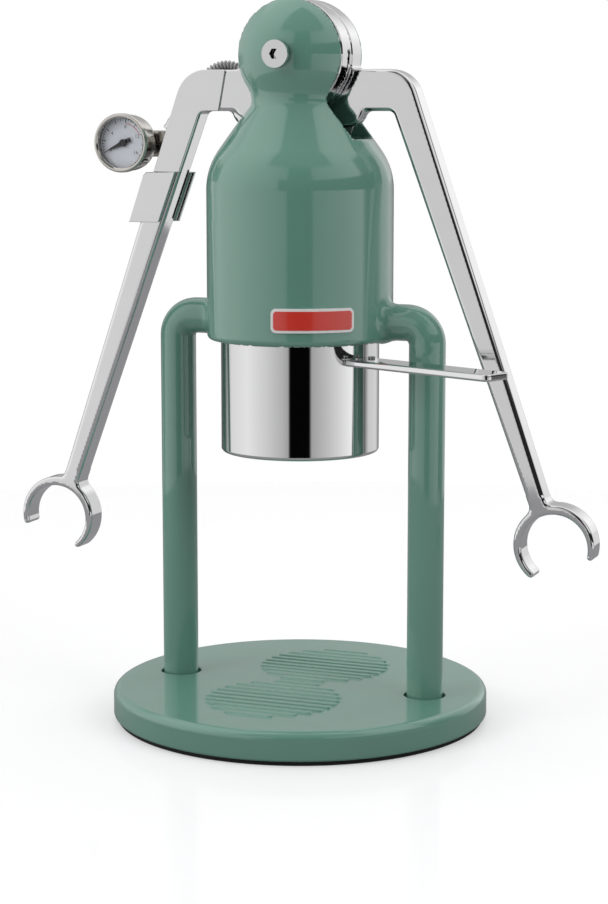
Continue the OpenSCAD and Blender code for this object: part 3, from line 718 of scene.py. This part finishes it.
class ESPRESSO_OT_badge(bpy.types.Operator):
    """Build the blank badge with its border"""
    bl_idname = "espresso.badge"
    bl_label = "Badge"

    def execute(self, context):
        low, high = BADGE_LOW[2], BADGE_HIGH[2]

        def plate(inset, corner, r_in, r_out, name, look, replaced):
            turn_in, steps = inset / BODY_R, 60
            a0, a1 = BADGE_START + turn_in, BADGE_END - turn_in
            z0, z1 = low + inset, high - inset
            points = []
            for i in range(steps + 1):
                s = 0.5 - 0.5 * math.cos(math.pi * i / steps)
                a = a0 + (a1 - a0) * s
                reach = min(a - a0, a1 - a) * BODY_R
                drop = 0 if reach >= corner else corner - math.sqrt(max(corner ** 2 - (corner - reach) ** 2, 0))
                rows = [(r_in, z0 + drop), (r_out - 0.15, z0 + drop), (r_out, z0 + drop + 0.15)]
                rows += [(r, z0 + z1 - z) for r, z in reversed(rows)]
                points += [(r * math.cos(a), r * math.sin(a), z) for r, z in rows]
            faces = grid_faces(steps + 1, 6)
            last = steps * 6
            faces += [(5, 4, 1, 0), (4, 3, 2, 1), (last, last + 1, last + 4, last + 5),
                      (last + 1, last + 2, last + 3, last + 4)]
            place(name, points, faces, "frame", look, look, replaced, sharp=25)

        plate(0, 2.2, BODY_R - 0.4, BODY_R + 0.75, "badge_plate", "badge_border", ("badge_frame",))
        plate(1.15, 1.3, BODY_R - 0.2, BODY_R + 0.95, "badge_enamel", "badge_red", ("badge_face",))
        return {"FINISHED"}


class ESPRESSO_OT_levers(bpy.types.Operator):
    """Build both polished levers"""
    bl_idname = "espresso.levers"
    bl_label = "Levers"

    def execute(self, context):
        cell = coarse(context.scene.espresso_levers.cell)
        points, faces, normals = surface(lever_field, LEVER_LOW, LEVER_HIGH, (cell, cell * 0.8, cell))
        place("lever_right", points, faces, "right_lever", "polished_alloy", "polished_alloy",
              ("right_lever",), normals)
        about = np.array([-1, -1, 1])
        place("lever_left", points * about, faces, "left_lever", "polished_alloy", "polished_alloy",
              ("left_lever",), normals * about)
        for side in ("left", "right"):
            dress({f"{side}_bush": ("brass", 0), f"{side}_crank_pin": ("stainless", 0),
                   f"{side}_link": ("stainless", 0.3)})
        return {"FINISHED"}


class ESPRESSO_OT_piston(bpy.types.Operator):
    """Dress the piston and its rod"""
    bl_idname = "espresso.piston"
    bl_label = "Piston"

    def execute(self, context):
        dress({"piston_rod": ("stainless", 0), "crosshead_pin": ("stainless", 0),
               "piston_head": ("stainless", 0.4), "piston_seal": ("red_silicone", 0.5),
               "piston_screw": ("stainless", 0)})
        return {"FINISHED"}


class ESPRESSO_OT_portafilter(bpy.types.Operator):
    """Build the portafilter's body and handle, and dress the basket and screen"""
    bl_idname = "espresso.portafilter"
    bl_label = "Portafilter"

    def execute(self, context):
        low, high = FILTER_LOW[2], FILTER_HIGH[2]
        r, inner = FILTER_R, FILTER_IN_R
        wall = rounded([
            (inner - 0.8, low, 0.4), (r, low, 1.5), (r, 176.9, 0), (r, high, 0.4), (inner, high, 0.4),
            (inner, low + 3, 0.6), (inner - 0.8, low + 2, 0.4)])
        points, faces = lathe(wall, sides=256)
        place("filter_cup", points, faces, "portafilter", "polished_steel", "polished_steel",
              ("portafilter_body",))
        for i in range(3):
            start = HANDLE_TURN + math.radians(120 * i - 15)
            rows = rounded([(LUG_ROOT_R, LUG_LOW, 0), (LUG_R, LUG_LOW, 0.6), (LUG_R, LUG_HIGH, 0.6),
                            (LUG_ROOT_R, LUG_HIGH, 0)])
            points = [(a * math.cos(start + math.radians(s)), a * math.sin(start + math.radians(s)), b)
                      for s in range(0, 31, 2) for a, b in rows]
            count = len(rows)
            faces = grid_faces(16, count)
            far_end = 15 * count
            for k in range(count // 2 - 1):
                cap = (k, k + 1, count - 2 - k, count - 1 - k)
                faces += [cap[::-1], tuple(far_end + c for c in cap)]
            place(f"filter_lug_{i}", points, faces, "portafilter", "polished_steel", "polished_steel")
        cell = coarse(0.0007)
        box_low, box_high = cad_box("portafilter_handle")
        points, faces, normals = surface(handle_field, box_low, box_high, (cell, cell, cell * 0.6))
        place("handle", points, faces, "portafilter", "polished_steel", "polished_steel",
              ("portafilter_handle",), normals)
        dress({"handle_rivets": ("stainless", 0.3), "basket": ("stainless", 0),
               "dispersion_screen": ("stainless", 0), "screen_stem": ("red_silicone", 0.2)})
        return {"FINISHED"}


class ESPRESSO_OT_hose(bpy.types.Operator):
    """Build the hose, its spring guard and the pieces that hold it on the left lever"""
    bl_idname = "espresso.hose"
    bl_label = "Hose"

    def execute(self, context):
        route = [
            (-28.5, 283.7), (-31.6, 285.2), (-35.4, 285.8), (-39.2, 285.2), (-42.6, 283.5), (-46.5, 281.1),
            (-50.4, 278.5), (-53.6, 275.5), (-56.3, 271.8), (-58.8, 267.6), (-61.0, 263.2), (-62.3, 260)]
        y = 2.5
        points, faces = tube(smooth_path([(x, y, z) for x, z in route], 8), 1.72, 20)
        place("hose", points, faces, "left_lever", "hose_grey", "hose_grey", ("gauge_hose",),
              sharp=60)
        turns, steps, radius, wire = 9, 28, 1.98, 0.50
        bend_r, bend_x, bend_z, first, last = 12.3, -35.4, 273.5, 62, 128
        path = []
        for i in range(turns * steps + 1):
            a = math.radians(first + (last - first) * i / (turns * steps))
            w = 2 * math.pi * i / steps
            r = bend_r + radius * math.cos(w)
            path.append((bend_x + r * math.cos(a), y + radius * math.sin(w), bend_z + r * math.sin(a)))
        points, faces = tube(path, wire, 8)
        place("spring_coil", points, faces, "left_lever", "stainless", "spring_steel",
              ("spring_guard",), sharp=60)
        tilt = math.radians(22.5)
        way = np.array([math.sin(tilt), 0, math.cos(tilt)])
        foot = np.array([-62.9, y, 258.1])
        profile = [(0.35, 3.1), (1.4, 3.15), (1.9, 2.7), (4.6, 2.5), (5.0, 2.1), (7.6, 2.05), (7.9, 1.8)]
        points, faces = tube([foot + way * d for d, _ in profile], [r for _, r in profile], 28)
        place("hose_crimp", points, faces, "left_lever", "polished_steel", "polished_steel",
              ("hose_ferrule",), sharp=50)
        dress({"hose_cover": ("polished_alloy", 0.35), "hose_clip": ("polished_alloy", 0.4),
               "clip_screw": ("stainless", 0.2), "hose_fitting": ("stainless", 0.3)})
        return {"FINISHED"}


class ESPRESSO_OT_gauge(bpy.types.Operator):
    """Build the pressure gauge with its scale"""
    bl_idname = "espresso.gauge"
    bl_label = "Gauge"

    def execute(self, context):
        r = BEZEL_HIGH[0] - GAUGE[0]
        bezel = rounded([
            (r - 1.9, 0.5, 0.2), (r - 1.3, 0, 0.3), (r - 0.5, 0, 0.4), (r, 0.9, 0.5), (r, 3.15, 0.25),
            (r - 1.3, 3.15, 0), (r - 1.3, 2.2, 0), (r - 1.9, 2.2, 0.1)])
        points, faces = lathe(bezel, GAUGE, "y")
        place("bezel", points, faces, "left_lever", "gauge_steel", "gauge_steel", ("gauge_bezel",))
        d = CASE_HIGH[1] - GAUGE[1]
        c = r - 0.6
        case = rounded([
            (c, 3.2, 0), (c, d, 5), (0.01, d, 0), (0.01, d - 1, 0), (c - 1, d - 1, 4), (c - 1, 3.2, 0)])
        points, faces = lathe(case, GAUGE, "y")
        place("case", points, faces, "left_lever", "gauge_steel", "gauge_steel", ("gauge_case",))
        glass = [(0.01, 1.65), (r - 1.95, 1.65), (r - 1.95, 2.1), (0.01, 2.1)]
        points, faces = lathe(glass, GAUGE, "y")
        place("lens", points, faces, "left_lever", "gauge_glass", "gauge_glass", ("gauge_lens",))
        self.scale(r - 1.9)
        dress({"gauge_dial": ("dial_plate", 0), "bourdon_tube": ("brass", 0),
               "gauge_movement": ("brass", 0), "gauge_needle": ("needle_black", 0),
               "gauge_block": ("gauge_steel", 0.7), "gauge_nut": ("gauge_steel", 0.4)})
        return {"FINISHED"}

    def scale(self, r):
        """Ticks, arc and numbers that stand a hair in front of the dial."""
        front = GAUGE[1] + 4.19

        def strip(r0, r1, a0, a1, steps, store):
            start = len(store[0])
            for i in range(steps + 1):
                a = math.radians(a0 + (a1 - a0) * i / steps)
                for q in (r0, r1):
                    store[0].append((GAUGE[0] + q * math.cos(a), front, GAUGE[2] + q * math.sin(a)))
            for k in range(start, start + 2 * steps, 2):
                store[1].append((k, k + 2, k + 3, k + 1))

        ink, red = ([], []), ([], [])
        for i in range(33):
            a = ZERO_MARK - SCALE_SWEEP * i / 32
            length, half = (2.1, 1.1) if i % 4 == 0 else (1.3, 0.6)
            strip(r - length, r - 0.5, a - half, a + half, 1, ink)
        strip(r - 2.7, r - 2.35, ZERO_MARK - SCALE_SWEEP / 2, ZERO_MARK - SCALE_SWEEP * 3 / 4, 24, red)
        strip(r - 0.5, r - 0.35, ZERO_MARK, ZERO_MARK - SCALE_SWEEP, 96, ink)
        place("scale_ink", ink[0], ink[1], "left_lever", "needle_black", "dial_ink")
        place("scale_arc", red[0], red[1], "left_lever", "red_silicone", "dial_arc")
        for i in range(0, 9, 2):
            a = math.radians(ZERO_MARK - SCALE_SWEEP * i / 8)
            line = bpy.data.curves.new(f"number_{i}", "FONT")
            line.body, line.size = str(2 * i), 2.2 * MM
            line.align_x = line.align_y = "CENTER"
            text = bpy.data.objects.new(f"number_{i}", line)
            bpy.context.scene.collection.objects.link(text)
            bpy.context.view_layer.update()
            mesh = bpy.data.meshes.new_from_object(text)
            bpy.data.objects.remove(text)
            obj = bpy.data.objects.new(f"number_{i}", mesh)
            bpy.context.scene.collection.objects.link(obj)
            obj.rotation_euler = (math.pi / 2, 0, 0)
            reach = r - 3.9
            at = (GAUGE[0] + reach * math.cos(a), front, GAUGE[2] + reach * math.sin(a))
            obj.location = [MM * q for q in at]
            mesh.materials.append(LOOKS["dial_ink"])
            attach(obj, "left_lever")


class ESPRESSO_OT_stage(bpy.types.Operator):
    """Make the floor, the light and the camera"""
    bl_idname = "espresso.stage"
    bl_label = "Stage"

    def execute(self, context):
        scene = context.scene
        settings = scene.espresso_stage
        scene.view_settings.view_transform = "Standard"
        self.floor()
        self.world(scene, settings.brightness)
        self.lamps(scene)
        camera = bpy.data.cameras.new("camera")
        camera.lens, camera.sensor_width, camera.sensor_fit = settings.lens, 36, "AUTO"
        camera.clip_start, camera.clip_end = 0.01, 20
        eye = bpy.data.objects.new("camera", camera)
        eye.location = CAMERA_AT
        eye.rotation_euler = [math.radians(a) for a in (81.198, 0, 21.751)]
        scene.collection.objects.link(eye)
        scene.camera = eye
        return {"FINISHED"}

    def floor(self):
        """Round pale table top with a faint mirror image; the machine sees it darker than the camera."""
        made = bpy.data.materials.new("pale_floor")
        made.use_nodes = True
        tree = made.node_tree
        tree.nodes.clear()
        out = node(tree, "ShaderNodeOutputMaterial", (750, 0))
        pale = node(tree, "ShaderNodeBsdfPrincipled", (0, 100), {
            "Base Color": (0.70, 0.70, 0.71, 1), "Roughness": 0.6, "Specular IOR Level": 0.0,
            "Emission Color": (1, 1, 1, 1), "Emission Strength": 0.42})
        gloss = node(tree, "ShaderNodeBsdfGlossy", (0, -300), {"Color": (1, 1, 1, 1), "Roughness": 0.05})
        mix = node(tree, "ShaderNodeMixShader", (300, 0), {0: 0.10})
        shaded = node(tree, "ShaderNodeBsdfDiffuse", (0, -500), {"Color": (0.36, 0.36, 0.37, 1)})
        path = node(tree, "ShaderNodeLightPath", (300, 400))
        final = node(tree, "ShaderNodeMixShader", (500, 0))
        tree.links.new(pale.outputs[0], mix.inputs[1])
        tree.links.new(gloss.outputs[0], mix.inputs[2])
        tree.links.new(path.outputs["Is Camera Ray"], final.inputs[0])
        tree.links.new(shaded.outputs[0], final.inputs[1])
        tree.links.new(mix.outputs[0], final.inputs[2])
        tree.links.new(final.outputs[0], out.inputs["Surface"])
        reach, sides = 0.62, 96
        mesh = bpy.data.meshes.new("floor")
        turns = [2 * math.pi * k / sides for k in range(sides)]
        rim = [(reach * math.cos(a), reach * math.sin(a), 0) for a in turns]
        mesh.from_pydata(rim, [], [tuple(range(sides))])
        mesh.materials.append(made)
        floor = bpy.data.objects.new("floor", mesh)
        bpy.context.scene.collection.objects.link(floor)

    def world(self, scene, brightness):
        """A light tent: pale all round, darker at the camera's side and behind, with a dark rail.

        The ramps low, high, behind and rail_wide run once round the horizon, the camera at 0.5;
        climb, rise and rail_high run up from the horizon.
        """
        world = bpy.data.worlds.new("studio")
        world.use_nodes = True
        scene.world = world
        tree = world.node_tree
        tree.nodes.clear()
        link = tree.links.new
        out = node(tree, "ShaderNodeOutputWorld", (1200, 0))
        where = node(tree, "ShaderNodeTexCoord", (-1200, 0))
        split = node(tree, "ShaderNodeSeparateXYZ", (-1000, 0))
        turn = node(tree, "ShaderNodeMath", (-800, 100), operation="ARCTAN2")
        bearing = math.atan2(CAMERA_AT[1], CAMERA_AT[0])
        shift = node(tree, "ShaderNodeMath", (-620, 100), {1: -bearing}, operation="ADD")
        share = node(tree, "ShaderNodeMath", (-440, 100), {1: 2 * math.pi}, operation="DIVIDE")
        middle = node(tree, "ShaderNodeMath", (-260, 100), {1: 0.5}, operation="ADD")
        wrap = node(tree, "ShaderNodeMath", (-80, 100), {1: 1.0, 2: 0.0}, operation="WRAP")
        low = ramp(tree, (120, 250), [
            (0.00, 0.10), (0.07, 0.12), (0.12, 0.30), (0.17, 0.95), (0.27, 1.10), (0.36, 0.85), (0.43, 0.62),
            (0.452, 0.50), (0.458, 0.002), (0.538, 0.002), (0.546, 0.50), (0.60, 0.68), (0.67, 0.95),
            (0.725, 1.20), (0.745, 0.14), (0.80, 0.16), (0.83, 0.80), (0.90, 0.85), (0.95, 0.25), (1.0, 0.10)])
        high = ramp(tree, (120, -50), [
            (0.00, 0.9), (0.30, 1.1), (0.355, 0.95), (0.375, 0.20), (0.625, 0.20), (0.645, 0.95),
            (0.70, 1.1), (1.0, 0.9)])
        climb = ramp(tree, (120, -300), [(0.60, 0.0), (0.68, 1.0)])
        behind = ramp(tree, (120, 550), [
            (0.0, 0.36), (0.13, 0.36), (0.15, 0.0), (0.88, 0.0), (0.90, 0.36), (1.0, 0.36)])
        rise = ramp(tree, (120, -550), [(0.01, 0.0), (0.05, 1.0)])
        veil = node(tree, "ShaderNodeMix", (300, 350), data_type="RGBA", blend_type="ADD")
        rail_high = ramp(tree, (120, 850), [(0.02, 0.0), (0.035, 1.0), (0.30, 1.0), (0.34, 0.0)])
        rail_wide = ramp(tree, (120, 1150), [(0.42, 0.0), (0.43, 1.0), (0.775, 1.0), (0.79, 0.0)])
        rail = node(tree, "ShaderNodeMath", (300, 950), operation="MULTIPLY")
        hung = node(tree, "ShaderNodeMix", (450, 350), {7: (0.02, 0.02, 0.02, 1)}, data_type="RGBA")
        blend = node(tree, "ShaderNodeMix", (450, 100), data_type="RGBA")
        strength = node(tree, "ShaderNodeBackground", (700, 100), {"Strength": brightness})
        pale = node(tree, "ShaderNodeBackground", (700, -100), {"Color": (1, 1, 1, 1), "Strength": 1.0})
        path = node(tree, "ShaderNodeLightPath", (450, 400))
        final = node(tree, "ShaderNodeMixShader", (950, 0))
        link(where.outputs["Generated"], split.inputs[0])
        link(split.outputs["Y"], turn.inputs[0])
        link(split.outputs["X"], turn.inputs[1])
        for a, b in ((turn, shift), (shift, share), (share, middle), (middle, wrap)):
            link(a.outputs[0], b.inputs[0])
        link(wrap.outputs[0], low.inputs["Fac"])
        link(wrap.outputs[0], high.inputs["Fac"])
        link(split.outputs["Z"], climb.inputs["Fac"])
        link(split.outputs["Z"], rise.inputs["Fac"])
        link(wrap.outputs[0], behind.inputs["Fac"])
        link(rise.outputs["Color"], veil.inputs[0])
        link(low.outputs["Color"], veil.inputs[6])
        link(behind.outputs["Color"], veil.inputs[7])
        link(climb.outputs["Color"], blend.inputs[0])
        link(split.outputs["Z"], rail_high.inputs["Fac"])
        link(wrap.outputs[0], rail_wide.inputs["Fac"])
        link(rail_high.outputs["Color"], rail.inputs[0])
        link(rail_wide.outputs["Color"], rail.inputs[1])
        link(rail.outputs[0], hung.inputs[0])
        link(veil.outputs[2], hung.inputs[6])
        link(hung.outputs[2], blend.inputs[6])
        link(high.outputs["Color"], blend.inputs[7])
        link(blend.outputs[2], strength.inputs["Color"])
        link(path.outputs["Is Camera Ray"], final.inputs[0])
        link(strength.outputs[0], final.inputs[1])
        link(pale.outputs[0], final.inputs[2])
        link(final.outputs[0], out.inputs[0])

    def lamps(self, scene):
        """Two broad soft lamps and one overhead."""
        for name, at, size, power in (
                ("lamp_left", (-1.3, -1.6, 1.3), 1.2, 10.0), ("lamp_right", (1.8, -0.5, 1.1), 1.1, 9.0),
                ("lamp_top", (0.0, 0.1, 2.2), 1.6, 3.0)):
            lamp = bpy.data.lights.new(name, "AREA")
            lamp.size, lamp.energy = size, power
            obj = bpy.data.objects.new(name, lamp)
            obj.location = at
            obj.rotation_euler = (Vector((0, 0, 0.15)) - Vector(at)).to_track_quat("-Z", "Y").to_euler()
            obj.visible_glossy = False
            scene.collection.objects.link(obj)


OPERATORS = (
    ESPRESSO_OT_materials, ESPRESSO_OT_casting, ESPRESSO_OT_base, ESPRESSO_OT_badge, ESPRESSO_OT_levers,
    ESPRESSO_OT_piston, ESPRESSO_OT_portafilter, ESPRESSO_OT_hose, ESPRESSO_OT_gauge, ESPRESSO_OT_stage,
)


class ESPRESSO_PT_panel(bpy.types.Panel):
    """The machine's pieces and settings"""
    bl_idname = "ESPRESSO_PT_panel"
    bl_label = "Espresso machine"
    bl_space_type = "VIEW_3D"
    bl_region_type = "UI"
    bl_category = "Espresso"

    def draw(self, context):
        for name, group in GROUPS.items():
            box = self.layout.box()
            box.label(text=group.__doc__)
            for key in group.__annotations__:
                box.prop(getattr(context.scene, name), key)
        for operator in OPERATORS:
            self.layout.operator(operator.bl_idname)


def register():
    for made in (*GROUPS.values(), *OPERATORS, ESPRESSO_PT_panel):
        bpy.utils.register_class(made)
    for name, group in GROUPS.items():
        setattr(bpy.types.Scene, name, bpy.props.PointerProperty(type=group))


def unregister():
    for name in GROUPS:
        delattr(bpy.types.Scene, name)
    for made in reversed((*GROUPS.values(), *OPERATORS, ESPRESSO_PT_panel)):
        bpy.utils.unregister_class(made)


def main():
    register()
    for operator in OPERATORS:
        group, name = operator.bl_idname.split(".")
        getattr(getattr(bpy.ops, group), name)()


if __name__ == "__main__":
    main()
